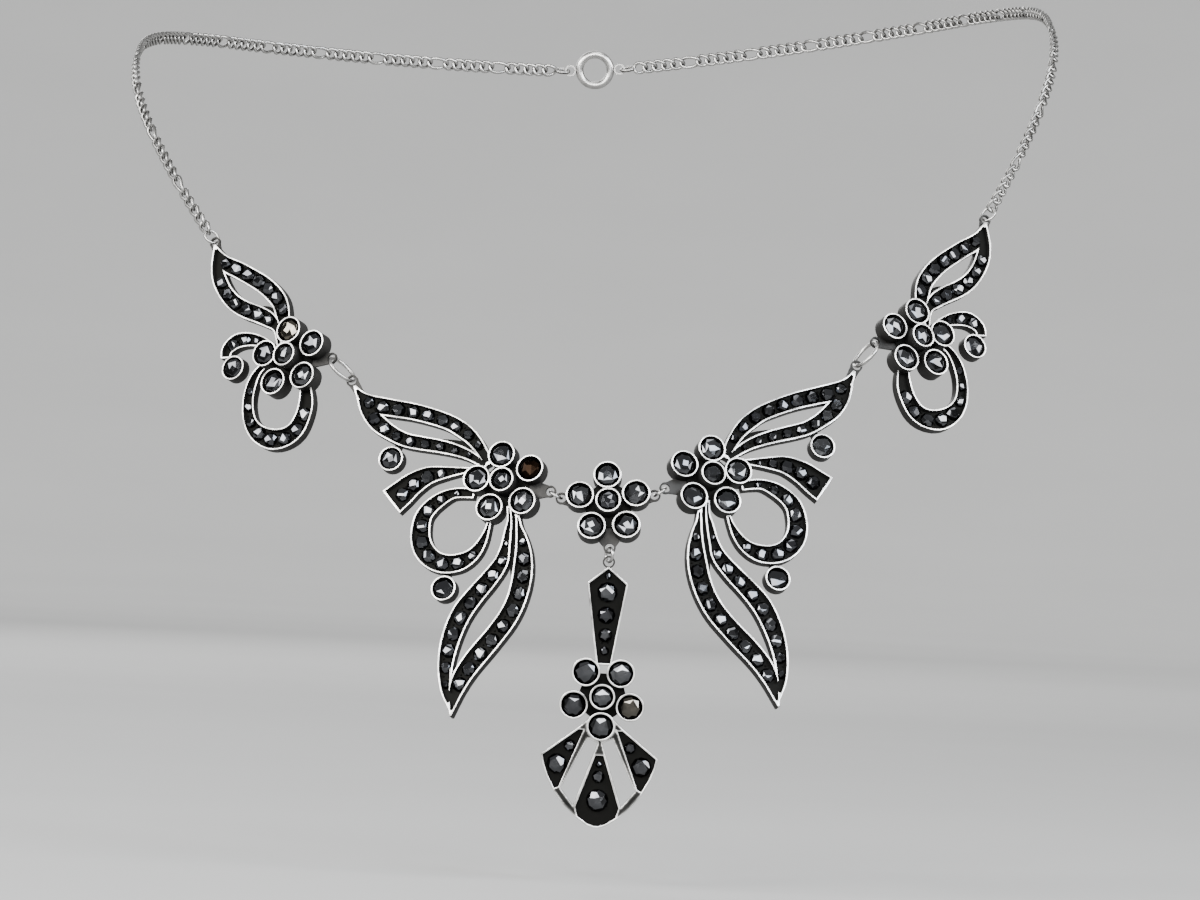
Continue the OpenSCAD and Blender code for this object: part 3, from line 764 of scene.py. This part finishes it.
def smooth_route(points):
    """Points close together on a smooth line through the points given."""
    line = []
    for number in range(len(points) - 1):
        start, end = points[number], points[number + 1]
        before = points[max(number - 1, 0)]
        after = points[min(number + 2, len(points) - 1)]
        square_part = 2 * before - 5 * start + 4 * end - after
        cube_part = 3 * start - before - 3 * end + after
        for step in range(route_steps):
            share = step / route_steps
            line.append(0.5 * (2 * start + (end - before) * share + square_part * share * share
                               + cube_part * share * share * share))
    return line + [points[-1]]


def as_worn(point, left):
    """A point of the right side, in millimetres, where the necklace as worn has it."""
    x, y, z = Vector(point) * mm
    x = -x if left else x
    return Vector((x * cos(worn_roll) - z * sin(worn_roll), y,
                   x * sin(worn_roll) + z * cos(worn_roll)))


def ring_middle_and_axis(node):
    """Middle of a jump ring, and the way that is square to its plane."""
    points = np.array([vertex.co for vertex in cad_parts[node].data.vertices])
    low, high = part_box(node)
    ways = np.linalg.eigh(np.cov(points.T))[1]
    return (low + high) / 2, Vector(ways[:, 0])


def link_pitches(reach):
    """Distances between the middles of the links, fitted to the length that they span."""
    pitches = []
    while sum(pitches) < reach - short_pitch / 2:
        number = len(pitches)
        beside_long = any((number + step) % links_in_group == links_in_group - 1
                          for step in (0, 1))
        pitches.append((short_pitch + long_pitch) / 2 if beside_long else short_pitch)
    fit = reach / sum(pitches)
    return [pitch * fit for pitch in pitches]


short_link = bent_link("short_link", short_half, link_twist)
long_link = bent_link("long_link", long_half, link_twist)
plain_link = bent_link("plain_link", short_half, 0)
for left in (True, False):
    side = "left" if left else "right"
    ring_middle, ring_axis = ring_middle_and_axis(f"chain_ring_{side}")
    route = smooth_route([ring_middle] + [as_worn(point, left) for point in chain_route])
    lengths = [0.0]
    for start, end in zip(route, route[1:]):
        lengths.append(lengths[-1] + (end - start).length)
    travelled = ring_radius - ring_wire - link_wire + short_half
    last_stop = lengths[-1] - (eye_rim_middle - eye_rim_half - link_wire) - short_half
    pitches = link_pitches(last_stop - travelled)
    members, index = [], 0
    for number, pitch in enumerate(pitches + [0]):
        while index < len(lengths) - 2 and lengths[index + 1] < travelled:
            index += 1
        share = (travelled - lengths[index]) / (lengths[index + 1] - lengths[index])
        place = route[index].lerp(route[index + 1], share)
        way = (route[index + 1] - route[index]).normalized()
        # From side to side, the way outwards starts at the clasp, which is at the origin
        outward = place - as_worn(loop_middle, left)
        outward.x = place.x
        wide = way.cross(outward).normalized()
        # The first link stands square to its ring, and the next few turn back until they lie flat
        if number == 0:
            if wide.dot(ring_axis) < 0:
                ring_axis = -ring_axis
            first_turn = atan2(way.dot(wide.cross(ring_axis)), wide.dot(ring_axis))
        turn = first_turn * max(0, 1 - number / turning_links)
        model = long_link if number % links_in_group == links_in_group - 1 else short_link
        # The last link stands on its edge, to go through the clasp's eye
        if number == len(pitches):
            model, turn = plain_link, radians(90)
        wide = Matrix.Rotation(turn, 3, way) @ wide
        member = bpy.data.objects.new(f"chain_{side}_link", model.data.copy())
        bpy.context.collection.objects.link(member)
        stance = Matrix((way, wide, way.cross(wide))).transposed().to_4x4()
        member.data.transform(Matrix.Translation(place) @ stance)
        members.append(member)
        travelled += pitch
    bpy.ops.object.select_all(action="DESELECT")
    for member in members:
        member.select_set(True)
    bpy.context.view_layer.objects.active = members[0]
    bpy.ops.object.join()
    chain = bpy.context.object
    chain.name = f"chain_{side}_links"
    chain.data.materials.append(wire_silver)
    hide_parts(f"chain_{side}")
    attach(chain, "necklace")
for model in (short_link, long_link, plain_link):
    bpy.data.objects.remove(model)
